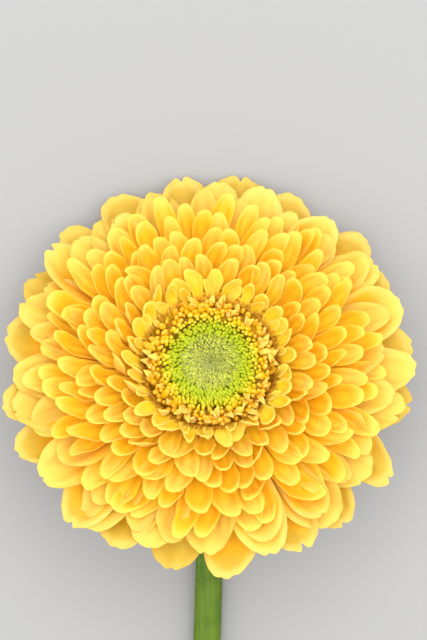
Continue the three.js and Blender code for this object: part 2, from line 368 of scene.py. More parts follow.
class Form:
    """How a kind of floret is shaped. Heights and depths are in millimetres."""

    def __init__(self, **values):
        self.root = 0.3  # width at the root, as a share of the full width
        self.belly = 1.2  # how late the blade widens: 1 is evenly
        self.cap = 1.5  # length of the rounded tip, in half widths
        self.point = 0.0  # 1 draws the tip to a point
        self.skew = 0.0  # how far one side of the tip runs ahead of the other, in millimetres
        self.waist = 0.0  # how much the sides fall in
        self.notch = 0.0  # depth of the deepest notch, as a share of the length
        self.teeth = 0.0  # height of the tip's waves, as a share of the length
        self.rim = 0.15  # how far the edge curls up over the dish
        self.curl = 0.0  # how far the sides curl in
        self.hood = 0.0  # how far the whole tip curls up
        self.groove = 0.1  # depth of the two lengthwise grooves
        self.ridge = 0.0  # height of the middle's ridge
        self.pleat = 0.0  # height of the blade's lengthwise folds
        self.ruffle = 0.0  # height of the waves along the edges
        self.fold = 0.0  # how far one side stands higher than the other
        self.sway = 0.03  # sideways bend, in radians
        self.twist = 0.1  # turn about the floret's own length, in radians
        self.length = 0.0  # how much the lengths differ, in millimetres
        self.girth = 0.15  # how much the widths differ
        self.scoop = 0.2  # depth of the dish near the root, as a share of its depth at the tip
        self.reach = 7  # how far down from the tip the dish is deep, in millimetres
        for key, value in values.items():
            setattr(self, key, value)


def bezier(points, t):
    """A point and a unit direction of a quadratic curve, for each t."""
    a, b, c = (np.array(p, dtype=float) for p in points)
    t = t[:, None]
    at = a * (1 - t) ** 2 + 2 * b * t * (1 - t) + c * t**2
    heading = 2 * (b - a) * (1 - t) + 2 * (c - b) * t
    return at, heading / np.linalg.norm(heading, axis=1)[:, None]


def lipped(out):
    """The height of a dish of depth 1 with a flat floor, a steep wall and a level lip."""
    return smoothstep(0.2, 0.93, out) * 0.9 + 0.1 * out


def floret(blank, spine, width, trough, form, rng, cup=0.5):
    """A floret along +X before it is turned into its place.

    spine holds (distance from the axis, height) points, and cup says how far it is cupped, from 0 to 1.
    """
    v, s, b, side = blank.across, blank.tip, blank.body, blank.verts[:, 2]
    # The outline: along runs from 0 to 1 at the tip, and across is in millimetres
    notch_at, notch_depth = rng.normal(0, 0.12), form.notch * rng.uniform(0, 1) ** 2
    tip = s * np.sqrt(1 - v**2 / 2)
    length = math.dist(spine[0], spine[2])
    cap = form.cap * rng.uniform(0.85, 1.35) * width / 2 / length
    along = b * (1 - cap) + cap * tip
    along -= notch_depth * np.exp(-(((v - notch_at) / 0.1) ** 2)) * s**4
    along += form.teeth * np.cos(2 * np.pi * (1.6 * v + rng.uniform())) * s**3 * (1 - 0.6 * abs(v))
    along += form.skew * rng.normal() / length * v * s**2
    share = form.root + (1 - form.root) * b ** (form.belly * rng.uniform(0.85, 1.25))
    share *= 1 - form.waist * np.sin(np.pi * b)
    squeeze = np.sqrt(1 - s**2 / 2) * (1 - form.point * 0.75 * s**1.6)
    half = width / 2 * rng.uniform(1 - form.girth, 1 + 0.6 * form.girth) * share
    across = v * half * squeeze * (1 - form.curl * smoothstep(0.7, 1, abs(v)))

    # The height over the spine, in millimetres
    below = (1 - along) * length
    dish = trough * lerp(0.6, 1.4, cup)
    dish = dish * lerp(1, form.scoop, smoothstep(0.4 * form.reach, form.reach, below))
    lopsided = 1 + 0.32 * np.clip(rng.normal(), -1.5, 1.5) * v
    lift = (dish * lipped(blank.out) * share + form.rim * blank.out**6) * share * lopsided
    lift += form.hood * lerp(0.1, 1.4, cup) * (1 - smoothstep(0, 0.8 * form.reach, below)) ** 2
    lift += form.fold * rng.normal() * v * share * along
    inland = smoothstep(0.05, 0.4, along) * (1 - s**3) * rng.uniform(0.2, 1.5)
    lift -= form.groove * np.exp(-(((abs(v) - 0.38) / 0.14) ** 2)) * inland
    lift += form.ridge * np.exp(-((v / 0.2) ** 2)) * inland
    if form.pleat:
        folds, start = rng.uniform(1.0, 2.4), rng.uniform(0, 2 * np.pi)
        inland = smoothstep(0.2, 0.6, along) * (1 - 0.6 * s**3)
        lift += form.pleat * np.sin(np.pi * folds * v + start) * inland
    waves, start = rng.uniform(1.2, 2.2), rng.uniform(0, 2 * np.pi, 2)
    wave = np.sin(2 * np.pi * waves * along + np.where(v > 0, start[0], start[1]))
    lift += form.ruffle * wave * abs(v) ** 2.5 * smoothstep(0.3, 0.8, along)
    thick = lerp(sizes().floret_thickness, sizes().rim_thickness, blank.out**3)
    lift += side * thick / 2

    # The floret's course along the spine
    at, heading = bezier(spine, along * (1 + form.length * rng.normal() / length))
    turn = form.twist * rng.normal() * along
    across, lift = across * np.cos(turn) - lift * np.sin(turn), across * np.sin(turn) + lift * np.cos(turn)
    points = np.column_stack([at[:, 0] - heading[:, 1] * lift, across, at[:, 1] + heading[:, 0] * lift])
    return turned_about(points, form.sway * rng.normal() * along**2)


def turned_about(points, angle):
    """Points turned about the bloom's axis."""
    cos, sin = np.cos(angle), np.sin(angle)
    x, y, z = points.T
    return np.column_stack([x * cos - y * sin, x * sin + y * cos, z])


def laid_on_surface(points, root):
    """Bends a floret up from its root until no part of it is below the surface under the flower."""
    reach = np.maximum(0, np.hypot(points[:, 0], points[:, 1]) - root)
    up = np.array([0, -math.sin(LEAN), math.cos(LEAN)])
    for _ in range(4):
        height = HEAD_Z + points @ up
        lowest = height.argmin()
        if height[lowest] >= SURFACE_GAP:
            break
        bend = (SURFACE_GAP - height[lowest]) / reach[lowest] ** 2
        points = points + bend * reach[:, None] ** 2 * up
    return points


class Whorl:
    """One ring of florets, whose spines run by base, crest and tip: (distance from the axis, height)."""

    def __init__(self, count, turn, base, crest, tip, width, trough, roll, vary, **more):
        self.count, self.turn, self.base, self.crest, self.tip = count, turn, base, crest, tip
        self.width, self.trough, self.roll, self.vary = width, trough, roll, vary
        self.droop = more.get("droop", 0)  # how far the tips on the stem's side hang, in millimetres
        self.broad = more.get("broad", 0)  # how much broader the florets there are, as a share
        self.draws = more.get("draws", BLADE_DRAWS)

    def shapes(self, blank, form, rng):
        """The florets' vertices in the whole flower's frame, each varied as its solid blade is."""
        step = 2 * math.pi / self.count
        self.cups = rng.uniform(0, 1, self.count)
        found = []
        for i in range(self.count):
            stretch = 1 + self.vary["length"] * either(self.draws)
            lift = self.vary["lift"] * either(self.draws)
            heading = (i + self.turn + self.vary["heading"] * either(self.draws)) * step
            roll = self.roll + self.vary["roll"] * either(self.draws)
            low = max(0, -math.sin(heading))
            lift -= self.droop * low

            def reach(point, share):
                return (self.base[0] + (point[0] - self.base[0]) * stretch, point[1] + lift * share)

            spine = (self.base, reach(self.crest, 0.5), reach(self.tip, 1))
            width = self.width * (1 + self.broad * low)
            points = floret(blank, spine, width, self.trough, form, rng, self.cups[i])
            y, z = points[:, 1].copy(), points[:, 2] - self.base[1]
            points[:, 1] = y * math.cos(roll) - z * math.sin(roll)
            points[:, 2] = y * math.sin(roll) + z * math.cos(roll) + self.base[1]
            points = laid_on_surface(turned_about(points, heading), self.base[0])
            found.append(world(points))
        return found


BRACT_VARY = {"length": 0.06, "lift": 0.25, "heading": 0.1, "roll": 0.05}
RAY_VARY = {"length": 0.04, "lift": 0.6, "heading": 0.05, "roll": 0.02}
LIGULE_VARY = {"length": 0.05, "lift": 0.35, "heading": 0.08, "roll": 0.03}
INNER_VARY = {"length": 0.15, "lift": 0.7, "heading": 0.15, "roll": 0.05}

BRACTS = [
    Whorl(16, 0, (9.5, -7), (14.6, -5.2), (18, -2.6), 3.6, 0.4, 0, BRACT_VARY),
    Whorl(12, 0.5, (6.2, -9.2), (11.2, -8.4), (15.6, -5.2), 3.3, 0.4, 0, BRACT_VARY),
]
RAYS = [
    Whorl(20, 0.5, (13.8, -0.3), (32, 2.4), (HEAD_RADIUS, -2.2), 15, 1.6, 0.11, RAY_VARY),
    Whorl(20, 0, (14.8, 0.8), (31.5, 4.6), (HEAD_RADIUS - 1.8, 1.4), 14.4, 1.8, 0.11, RAY_VARY),
]
LIGULE_COUNTS = (37, 36, 35, 33, 31)


def ligule_whorl(ring):
    """A ring of short florets: from the outermost to the innermost, their tips climb a dome."""
    inward = ring / (len(LIGULE_COUNTS) - 1)
    climb = math.sin(inward * math.pi / 2)
    return Whorl(
        LIGULE_COUNTS[ring],
        ring / 2,
        (lerp(15.8, 17.7, inward), lerp(2.9, 7.2, inward)),
        (lerp(32, 23.4, inward), lerp(6.6, 11, inward)),
        (lerp(44, 28, inward), lerp(6.2, 14.5, climb)),
        lerp(6.8, 5.5, inward),
        lerp(2.5, 2.1, inward),
        0.12,
        LIGULE_VARY,
        droop=lerp(1.8, 3, inward),
        broad=0.2,
    )


LIGULES = [ligule_whorl(ring) for ring in range(len(LIGULE_COUNTS))]
# Between the rays and the outermost short florets stands a looser ring of half-long ones
HALF_LONG = Whorl(
    24, 0.3, (15.6, 2.4), (32, 5.2), (47, 3.6), 11, 2, 0.12, LIGULE_VARY,
    droop=0.6, draws=lehmer(SEEDS["half_long_blades"]),
)
INNER = [
    Whorl(30, 0.25, (17.25, 9.2), (20, 11.9), (23.6, 14.4), 4.4, 1.4, 0.14, INNER_VARY, droop=2, broad=0.2),
    Whorl(18, 0.5, (17.2, 9.3), (18.6, 11.2), (21, 13), 3.2, 1.2, 0.14, INNER_VARY, droop=1.5),
]

RAY_FORM = Form(
    root=0.26, belly=0.75, cap=1.25, skew=0.9, notch=0.05, teeth=0.006, rim=0.3, hood=1.4, groove=0.3,
    ridge=0.25, pleat=0.35, ruffle=1.0, fold=0.9, length=0.35, girth=0.14, scoop=0.3, reach=20,
)
LIGULE_FORM = Form(
    root=0.45, belly=0.9, cap=1.75, skew=0.45, waist=0.02, notch=0.01, rim=0.3, curl=0.12, hood=1.2,
    groove=0.3, ridge=0.3, pleat=0.06, fold=0.25, sway=0.06, twist=0.11, length=0.65, girth=0.2,
    scoop=0.15, reach=7.5,
)
HALF_LONG_FORM = Form(
    root=0.3, belly=0.8, cap=1.4, skew=0.7, notch=0.04, rim=0.3, hood=1.2, groove=0.3, ridge=0.25,
    pleat=0.25, ruffle=0.6, fold=0.6, length=0.7, girth=0.25, reach=12,
)
INNER_FORM = Form(
    root=0.45, belly=1, cap=1.4, skew=0.3, waist=0.02, notch=0.02, teeth=0.01, rim=0.25, curl=0.08,
    hood=0.8, groove=0.15, ridge=0.12, fold=0.25, sway=0.06, twist=0.15, length=0.4, girth=0.2,
    scoop=0.5, reach=5,
)
BRACT_FORM = Form(root=0.9, belly=1, cap=3.2, point=1, rim=0, groove=-0.1, fold=0.1)
LOBE_FORM = Form(root=0.7, belly=1, cap=2, point=0.5, waist=-0.15, rim=0, groove=0, sway=0, scoop=1)


# Materials


class Socket:
    """A socket of a node, on which Python's operators do sums."""

    def __init__(self, shade, link):
        self.shade, self.link = shade, link

    def sum(self, operation, *others):
        return self.shade.node("Math", {"operation": operation}, dict(enumerate((self, *others)))).out(0)

    def __add__(self, other):
        return self.sum("ADD", other)

    def __sub__(self, other):
        return self.sum("SUBTRACT", other)

    def __rsub__(self, other):
        return (self * -1) + other

    def __mul__(self, other):
        return self.sum("MULTIPLY", other)

    def __abs__(self):
        return self.sum("ABSOLUTE")

    __radd__, __rmul__ = __add__, __mul__


class Node:
    """A node, for its outputs by name or number."""

    def __init__(self, shade, node):
        self.shade, self.node = shade, node

    def out(self, key):
        return Socket(self.shade, self.node.outputs[key])


class Shade:
    """A material and its nodes."""

    def __init__(self, name):
        self.material = bpy.data.materials.new(name)
        self.material.use_nodes = True
        self.tree = self.material.node_tree
        self.tree.nodes.clear()

    def node(self, kind, settings=None, sockets=None):
        """A node with its settings made first, and then the values or links of its sockets."""
        node = self.tree.nodes.new("ShaderNode" + kind)
        for key, value in (settings or {}).items():
            if key == "stops":
                self.set_stops(node.color_ramp, value)
            else:
                setattr(node, key, value)
        for key, value in (sockets or {}).items():
            if isinstance(value, Socket):
                self.tree.links.new(value.link, node.inputs[key])
            else:
                socket = node.inputs[key]
                socket.default_value = (*value, 1) if socket.type == "RGBA" else value
        return Node(self, node)

    @staticmethod
    def set_stops(ramp, stops):
        while len(ramp.elements) < len(stops):
            ramp.elements.new(1)
        for element, (place, colour) in zip(ramp.elements, stops):
            element.position = place
            element.color = (*colour, 1)

    def attribute(self, name):
        return self.node("Attribute", {"attribute_name": name}).out("Fac")

    def place(self):
        return self.node("TexCoord").out("Object")

    def noise(self, scale, detail=2, vector=None):
        sockets = {"Vector": vector or self.place(), "Scale": scale, "Detail": detail}
        return self.node("TexNoise", None, sockets).out("Fac")

    def between(self, value, low, high):
        """0 where value is below low, 1 above high, and smooth between."""
        sockets = {"Value": value, "From Min": low, "From Max": high}
        return self.node("MapRange", {"interpolation_type": "SMOOTHSTEP"}, sockets).out("Result")

    def ramp(self, value, *stops):
        return self.node("ValToRGB", {"stops": stops}, {"Fac": value}).out("Color")

    def mix(self, share, first, second):
        return self.node("Mix", {"data_type": "RGBA"}, {0: share, 6: first, 7: second}).out(2)

    def bump(self, height, distance, strength):
        sockets = {"Height": height, "Distance": distance, "Strength": strength}
        return self.node("Bump", None, sockets).out("Normal")

    def surface(self, colour, roughness, normal=None, through=0.0, specular=0.5, sheen=0.0):
        """Ends the material with its shader, mixed with light that comes through thin tissue."""
        sockets = {"Base Color": colour, "Roughness": roughness}
        sockets.update({"Specular IOR Level": specular, "Sheen Weight": sheen})
        if normal:
            sockets["Normal"] = normal
        shader = self.node("BsdfPrincipled", None, sockets).out("BSDF")
        if through:
            glow = self.node("BsdfTranslucent", None, {"Color": colour}).out("BSDF")
            shader = self.node("MixShader", None, {0: through, 1: shader, 2: glow}).out("Shader")
        self.node("OutputMaterial", None, {"Surface": shader})
        return self.material


def tissue(name, root, blade, tip, rim, vein_and_groove_shade, veins, through):
    """The finish of a floret, from the numbers that its points carry. veins sets how fine its veins are."""
    shade = Shade(name)
    deep, across, out = shade.attribute("deep"), shade.attribute("across"), shade.attribute("out")
    side, tone = shade.attribute("side"), shade.attribute("tone")
    patchy = shade.noise(260, 3)
    # The colour runs from the floret's orange root to its pale tip. This is partly its own colour and
    # partly painted shade, deepest towards the root under the florets above and in the more cupped florets.
    run = 1 - deep + (patchy - 0.5) * 0.3 - (tone - 0.4) * 0.5
    colour = shade.ramp(run, (0.0, root), (0.4, blade), (0.8, tip))
    # The paler rim, stronger on the more cupped florets, is a painted highlight where the raised edge
    # catches the light.
    colour = shade.mix(shade.between(out, 0.74, 0.9) * (tone * 0.5 + 0.2), colour, rim)
    grain = shade.noise(900, 2)
    stripes = (across * veins + patchy * 4 + tone * 9).sum("SINE") * 0.5 + 0.5
    colour = shade.mix(stripes * grain * 0.25, colour, vein_and_groove_shade)
    # Darker lines along the two grooves, stronger towards the root: painted shade in the furrows, in the
    # veins' colour.
    grooves = 1 - shade.between(abs(abs(across) - 0.45), 0.0, 0.2)
    colour = shade.mix(grooves * shade.between(deep, 0.0, 0.6) * (1 - tone * 0.6) * 0.4, colour, vein_and_groove_shade)
    colour = shade.mix(shade.between(side * -1, 0.0, 0.6) * 0.55, colour, colours().underside)
    normal = shade.bump(stripes * 0.6 + grain * 0.5, 0.0001, 0.5)
    return shade.surface(colour, 0.5 + patchy * 0.12, normal, through, specular=0.35, sheen=0.15)


def bud_skin(name, stops, pale):
    """The finish of the buds: their colour runs with ripe, and their tops are paler."""
    shade = Shade(name)
    ripe, tone, high = shade.attribute("ripe"), shade.attribute("tone"), shade.attribute("high")
    colour = shade.ramp(ripe + (tone - 0.5) * 0.12, *stops)
    colour = shade.mix(shade.between(high, 0.1, 1.0) * tone * 0.6, colour, pale)
    # The lower part of each bud turns towards the first stop's colour: painted shade between the buds.
    colour = shade.mix(shade.between(high * -1, -0.1, 0.8) * 0.5, colour, stops[0][1])
    grain = shade.noise(1600, 2)
    normal = shade.bump(grain, 0.0001, 0.5)
    return shade.surface(colour, 0.42 + grain * 0.15, normal, through=0.12, specular=0.25)


def plain_skin(name, first, second, scale, roughness, bump=0.0, through=0.0):
    """A matte skin in two mottled colours. scale is how fine the mottling is."""
    shade = Shade(name)
    mottle = shade.noise(scale, 4)
    colour = shade.mix(shade.between(mottle, 0.35, 0.65), first, second)
    normal = shade.bump(mottle, bump, 0.6) if bump else None
    return shade.surface(colour, roughness, normal, through, specular=0.3)


def shared_skin(name, *finish, **more):
    """A plain skin that several pieces wear, made for the first of them."""
    return bpy.data.materials.get(name) or plain_skin(name, *finish, **more)


def root_skin():
    """The skin of the plate and the collar that the other florets grow from."""
    gold = (colours().gold_root_and_throat_shade, colours().gold_blade)
    return shared_skin("root skin", *gold, 500, roughness=0.6, bump=0.0002)


def hair_skin():
    """The skin of the hairs of stem and bracts."""
    return shared_skin("hair skin", colours().hair, colours().stem, 400, roughness=0.6, through=0.4)


# Florets and what they grow from


def florets_piece(name, whorl, blank, form, material, node, seed):
    """One ring of florets as a finished piece."""
    rng = np.random.default_rng(seed)
    shapes = whorl.shapes(blank, form, rng)
    length = math.dist(whorl.base, whorl.tip)
    tones = blank.tones(whorl.cups, length, form.cap * whorl.width / 2)
    piece = grown(name, blank, shapes, tones, stretch=2 * whorl.width / length)
    finish_piece(piece, node, material)
    return piece


class FloretBlank(Blank):
    """A slab for florets, with the numbers of its points: how far across, along and out they are."""

    BODY = 0.55  # share of the rows that the body takes, before the rounded tip
    TONED = 9.0  # millimetres of a floret, from its tip, over which its colour changes

    def __init__(self, across, along):
        super().__init__(slab(across, along))
        self.uvs = self.two_sides()
        u = (self.verts[:, 1] + 1) / 2
        self.across = np.sin(self.verts[:, 0] * math.pi / 2)
        self.body = np.minimum(u / self.BODY, 1)
        self.tip = np.sin(np.clip((u - self.BODY) / (1 - self.BODY), 0, 1) * math.pi / 2)
        self.out = np.sqrt(self.across**2 + self.tip**2 - self.across**2 * self.tip**2)
        self.numbers = {"across": self.across, "out": self.out, "side": self.verts[:, 2]}

    def two_sides(self):
        """UVs with the two sides next to each other: the upper face and the rim left, the lower right."""
        at = self.verts[[i for face in self.faces for i in face]]
        centres = np.repeat([self.verts[list(face)].mean(0) for face in self.faces], 4, axis=0)
        flat = at[:, :2] / 2
        outward = np.where((abs(centres[:, 2]) < 0.5) & (at[:, 2] < 0), 1.03, 1.0)
        flat = 0.5 + flat * 0.92 * outward[:, None]
        right = np.where(centres[:, 2] < -0.5, 0.5, 0)
        return np.column_stack([flat[:, 0] / 2 + right, flat[:, 1]])

    def tones(self, cups, length, cap):
        """The numbers that the materials read, for copies of this length whose rounded tip takes cap of it.

        tone is how far a copy is cupped. deep is 0 at the tip and 1 from TONED millimetres below it.
        """
        deep = np.clip(((length - cap) * (1 - self.body) + cap * (1 - self.tip)) / self.TONED, 0, 1)
        numbers = {"deep": deep, **self.numbers}
        return {"tone": cups, **{key: np.tile(x, (len(cups), 1)) for key, x in numbers.items()}}


def spun(name, profile, steps, axis, near):
    """A closed body that the spin operator turns about an axis. Points closer than near are merged."""
    piece = new_piece(name, profile, [(i, i + 1) for i in range(len(profile) - 1)], [])
    deselect()
    bpy.context.view_layer.objects.active = piece
    piece.select_set(True)
    bpy.ops.object.mode_set(mode="EDIT")
    bpy.ops.mesh.select_all(action="SELECT")
    bpy.ops.mesh.spin(steps=steps, angle=2 * math.pi, center=(0, 0, 0), axis=axis)
    bpy.ops.mesh.select_all(action="SELECT")
    bpy.ops.mesh.remove_doubles(threshold=near)
    bpy.ops.mesh.normals_make_consistent(inside=False)
    bpy.ops.object.mode_set(mode="OBJECT")
    return piece


def turned_piece(name, profile, steps=64):
    """A body turned about the bloom's axis from a (radius, height) profile."""
    piece = spun(name, [(r * MM, 0, z * MM) for r, z in profile], steps, (0, 0, 1), 1e-6)
    turn = Matrix.Rotation(-LEAN, 4, "X")
    piece.data.transform(Matrix.Translation((0, HEAD_Y * MM, HEAD_Z * MM)) @ turn)
    bpy.ops.object.shade_smooth_by_angle(angle=math.radians(40))
    return piece


class InvolucreOperator(bpy.types.Operator):
    """The green cup under the bloom, with its two rings of bracts"""

    bl_idname = "gerbera.involucre"
    bl_label = "Involucre"

    def execute(self, context):
        c = colours()
        skin = self.finish(c)
        top = PLATE_LOW - PLAY
        wall = [(4.6, -CALYX_DEPTH + 0.05), (7.2, -9), (11, -6.2), (13.6, -3.2), (14.2, top)]
        profile = [(0, -CALYX_DEPTH), (3.8, -CALYX_DEPTH), *wall, (13, top), (0, top)]
        cup = turned_piece("involucre_cup", profile, steps=48)
        finish_piece(cup, "involucre", skin)
        blank = FloretBlank(8, 12)
        pieces = [cup]
        for name, whorl in zip(("inner_bracts", "outer_bracts"), BRACTS):
            seed = SEED + whorl.count
            pieces.append(florets_piece(name, whorl, blank, BRACT_FORM, skin, "involucre", seed))
        self.hairs(pieces)
        return {"FINISHED"}

    def finish(self, c):
        """Green bracts with pale edges and brownish tips. The cup, without their numbers, is all green."""
        shade = Shade("bract skin")
        mottle = shade.noise(220, 4)
        colour = shade.mix(shade.between(mottle, 0.35, 0.65), c.bract, c.stem_dark)
        out, deep = shade.attribute("out"), shade.attribute("deep")
        colour = shade.mix(shade.between(out, 0.7, 1.0) * 0.5, colour, c.hair)
        dry = shade.between(out, 0.5, 1.0) * (1 - shade.between(deep, 0.0, 0.3)) * 0.7
        colour = shade.mix(dry, colour, c.bract_tip)
        return shade.surface(colour, 0.75, shade.bump(mottle, 0.0002, 0.6), specular=0.3)

    def hairs(self, pieces):
        """Soft hairs on the undersides of the cup and the bracts."""
        rng = np.random.default_rng(SEEDS["bract_hairs"])
        blank = hair_blank(2)
        axis = np.array(TO_WORLD.to_3x3())[:, 2]
        shapes = []
        for piece in pieces:
            roots = np.array([v.co for v in piece.data.vertices]) / MM
            normals = np.array([v.normal for v in piece.data.vertices])
            under = np.flatnonzero(normals @ axis < -0.2)
            for i in rng.choice(under, sizes().bract_hairs // len(pieces)):
                direction = normals[i] + rng.normal(0, 0.35, 3)
                length = sizes().hair_length * rng.uniform(0.35, 1)
                root = roots[i] + rng.normal(0, 0.25, 3) * (1 - abs(normals[i]))
                droop = rng.normal(0, 0.15, 3)
                shapes.append(hair(blank, root, direction, length, sizes().hair_width, droop))
        hairs_piece("bract_hairs", shapes, blank, "involucre", hair_skin())


class RayFloretsOperator(bpy.types.Operator):
    """The two outer rings of broad florets, and the plate that they grow from"""

    bl_idname = "gerbera.ray_florets"
    bl_label = "Ray florets"

    def execute(self, context):
        c = colours()
        blank = FloretBlank(28, 40)
        # The outermost ring wears the darker blade colour: painted shade of the lower ring that lies behind
        # the next.
        rings = (("outer_rays", c.ray_back_row_shade), ("inner_rays", c.ray_blade))
        for ring, (name, blade) in enumerate(rings):
            pale = (c.ray_root_and_throat_shade, blade, blade, c.ray_rim_highlight, c.ray_vein_and_groove_shade)
            finish = tissue(f"{name} tissue", *pale, veins=44, through=0.45)
            seed = SEEDS["rays"] + ring
            florets_piece(name, RAYS[ring], blank, RAY_FORM, finish, "ray_florets", seed)
        profile = [(0, PLATE_LOW), (15.4, PLATE_LOW), (17, 0.3), (16.8, PLATE_HIGH), (0, PLATE_HIGH)]
        plate = turned_piece("ray_plate", profile)
        finish_piece(plate, "ray_florets", root_skin())
        return {"FINISHED"}


class TransFloretsOperator(bpy.types.Operator):
    """The rings of short golden florets, and the collar that they grow from"""

    bl_idname = "gerbera.trans_florets"
    bl_label = "Trans florets"

    def execute(self, context):
        c = colours()
        blank = FloretBlank(18, 26)
        gold = (c.gold_root_and_throat_shade, c.gold_blade, c.gold_tip, c.gold_rim_highlight, c.gold_vein_and_groove_shade)
        finish = tissue("golden tissue", *gold, veins=34, through=0.6)
        for ring, whorl in enumerate(LIGULES):
            name, seed = f"short_florets_{ring + 1}", SEED + 10 + ring
            florets_piece(name, whorl, blank, LIGULE_FORM, finish, "trans_florets", seed)
        pale = (c.ray_root_and_throat_shade, c.ray_blade, c.ray_blade, c.ray_rim_highlight, c.ray_vein_and_groove_shade)
        finish = tissue("half-long tissue", *pale, veins=34, through=0.5)
        blank, seed = FloretBlank(24, 32), SEEDS["half_long"]
        florets_piece("half_long_florets", HALF_LONG, blank, HALF_LONG_FORM, finish, "trans_florets", seed)
        foot = (12.3, COLLAR_LOW)
        profile = [foot, (15.8, COLLAR_LOW), (19.1, COLLAR_HIGH), (16.9, COLLAR_HIGH), foot]
        collar = turned_piece("floret_collar", profile)
        finish_piece(collar, "trans_florets", root_skin())
        return {"FINISHED"}


class InnerFloretsOperator(bpy.types.Operator):
    """The small lemon florets next to the disc"""

    bl_idname = "gerbera.inner_florets"
    bl_label = "Inner florets"

    def execute(self, context):
        c = colours()
        blank = FloretBlank(10, 16)
        lemon = (c.gold_blade, c.lemon_blade, c.lemon_tip, c.gold_rim_highlight, c.gold_vein_and_groove_shade)
        finish = tissue("lemon tissue", *lemon, veins=24, through=0.45)
        for name, whorl in zip(("inner_straps", "inner_cups"), INNER):
            seed = SEED + whorl.count
            florets_piece(name, whorl, blank, INNER_FORM, finish, "inner_florets", seed)
        foot = (16.7, RING_LOW)
        profile = [foot, (17.85, RING_LOW), (17.9, 9.4), (17.4, 9.8), (16.8, 9.3), foot]
        ring = turned_piece("inner_ring", profile)
        bed = plain_skin("bed skin", c.bed, c.bristle, 500, roughness=0.7, bump=0.0002)
        finish_piece(ring, "inner_florets", bed)
        return {"FINISHED"}


# Disc

GOLDEN_ANGLE = math.pi * (3 - math.sqrt(5))
OPEN_BUDS = 36  # how many of the outer buds show lobes
DISC_TOP = 10.3  # height of the buds' tops over the receptacle
DISC_SAG = 0.5  # how much lower they are at the disc's edge
DIMPLE_DEPTH, DIMPLE_RADIUS = 1.2, 1.8  # of the hollow in the middle of the heart
TIGHT_EDGE = 9.5  # the buds are packed close inside it
BUD_ROOM = 0.866  # area that a bud takes, as a share of its spacing squared


def disc_height(r):
    """Height of the buds' tops over the receptacle, at a distance from the bloom's axis."""
    dimple = DIMPLE_DEPTH * math.exp(-((r / DIMPLE_RADIUS) ** 2))
    return DISC_TOP - DISC_SAG * (r / DISC_EDGE) ** 2 - dimple


def bud_seats(rng):
    """Places of the buds, as (distance, heading), in a loose golden-angle spiral that widens outwards."""
    seats = []
    square, n = 0.1, 0
    while True:
        r = math.sqrt(square)
        if r > DISC_EDGE:
            return seats
        if r < TIGHT_EDGE:
            spacing = lerp(0.62, 0.95, min(r / 8, 1))
        else:
            spacing = lerp(0.92, 1.38, min((r - TIGHT_EDGE) / 4.5, 1))
        loose = 0.14 * spacing
        seats.append((r + loose * rng.normal(), n * GOLDEN_ANGLE + loose * rng.normal() / max(r, 1)))
        square += BUD_ROOM * spacing**2 / math.pi
        n += 1


def gappy(r):
    """The share of the opening buds that is missing: the outer ones stand apart."""
    return lerp(0.02, 0.13, min((r - HEART_EDGE) / 3, 1))


def ripeness(r):
    """0 at the edge of the heart and 1 at the disc's edge."""
    return (r - HEART_EDGE) / (DISC_EDGE - HEART_EDGE)


class Bud:
    """How a bud is shaped: its size and its lean towards the middle, in millimetres and radians."""

    def __init__(self, width, length, lean, lobes, taper, lift):
        self.width, self.length, self.lean = width, length, lean
        self.lobes, self.taper, self.lift = lobes, taper, lift


def stood_at(points, r, heading, lean, sideways, top):
    """Points about the origin leant towards the middle of the disc and moved to their seat in it."""
    x, y, z = points.T
    y, z = y * math.cos(sideways) - z * math.sin(sideways), y * math.sin(sideways) + z * math.cos(sideways)
    x, z = x * math.cos(lean) - z * math.sin(lean), x * math.sin(lean) + z * math.cos(lean)
    return world(turned_about(np.column_stack([x + r, y, z + top]), heading))


def bud(blank, r, heading, kind, rng):
    """A bud with its lobes closed, whose top is about level with the disc."""
    x, y, z = blank.verts.T
    angle = np.arctan2(y, x) + rng.uniform(0, 2 * math.pi)
    high = smoothstep(-0.3, 0.95, z)
    swell = (1 + kind.lobes * np.cos(5 * angle) * high) * (1 - kind.taper * high) * kind.width / 2
    length = kind.length * rng.uniform(0.85, 1.15)
    pit = 1.2 * kind.lobes * np.exp(-((x**2 + y**2) / 0.15)) * (z > 0)
    dents = 1 + 0.07 * np.sin(3 * x + 5 * rng.normal()) * np.cos(4 * y + 5 * rng.normal())
    flat = rng.uniform(0.82, 1.1)
    points = np.column_stack([x * swell * flat * dents, y * swell / flat * dents, (z - pit) * length / 2])
    lean = kind.lean + 0.15 * rng.normal()
    top = disc_height(r) + kind.lift + 0.12 * rng.normal() - length / 2 * math.cos(lean)
    return stood_at(points, r, heading, lean, 0.15 * rng.normal(), top)


def buds_piece(name, seats, blank, shaper, ripe, material, node, rng):
    """Buds at their seats. shaper draws a bud's shape, and ripe gives its age, from its distance."""
    shapes = [bud(blank, r, heading, shaper(r, rng), rng) for r, heading in seats]
    tones = {
        "tone": rng.uniform(0, 1, len(seats)),
        "ripe": np.array([ripe(r) for r, _ in seats]),
        "high": np.tile(blank.verts[:, 2], (len(seats), 1)),
    }
    piece = grown(name, blank, shapes, tones)
    finish_piece(piece, node, material)
    return piece


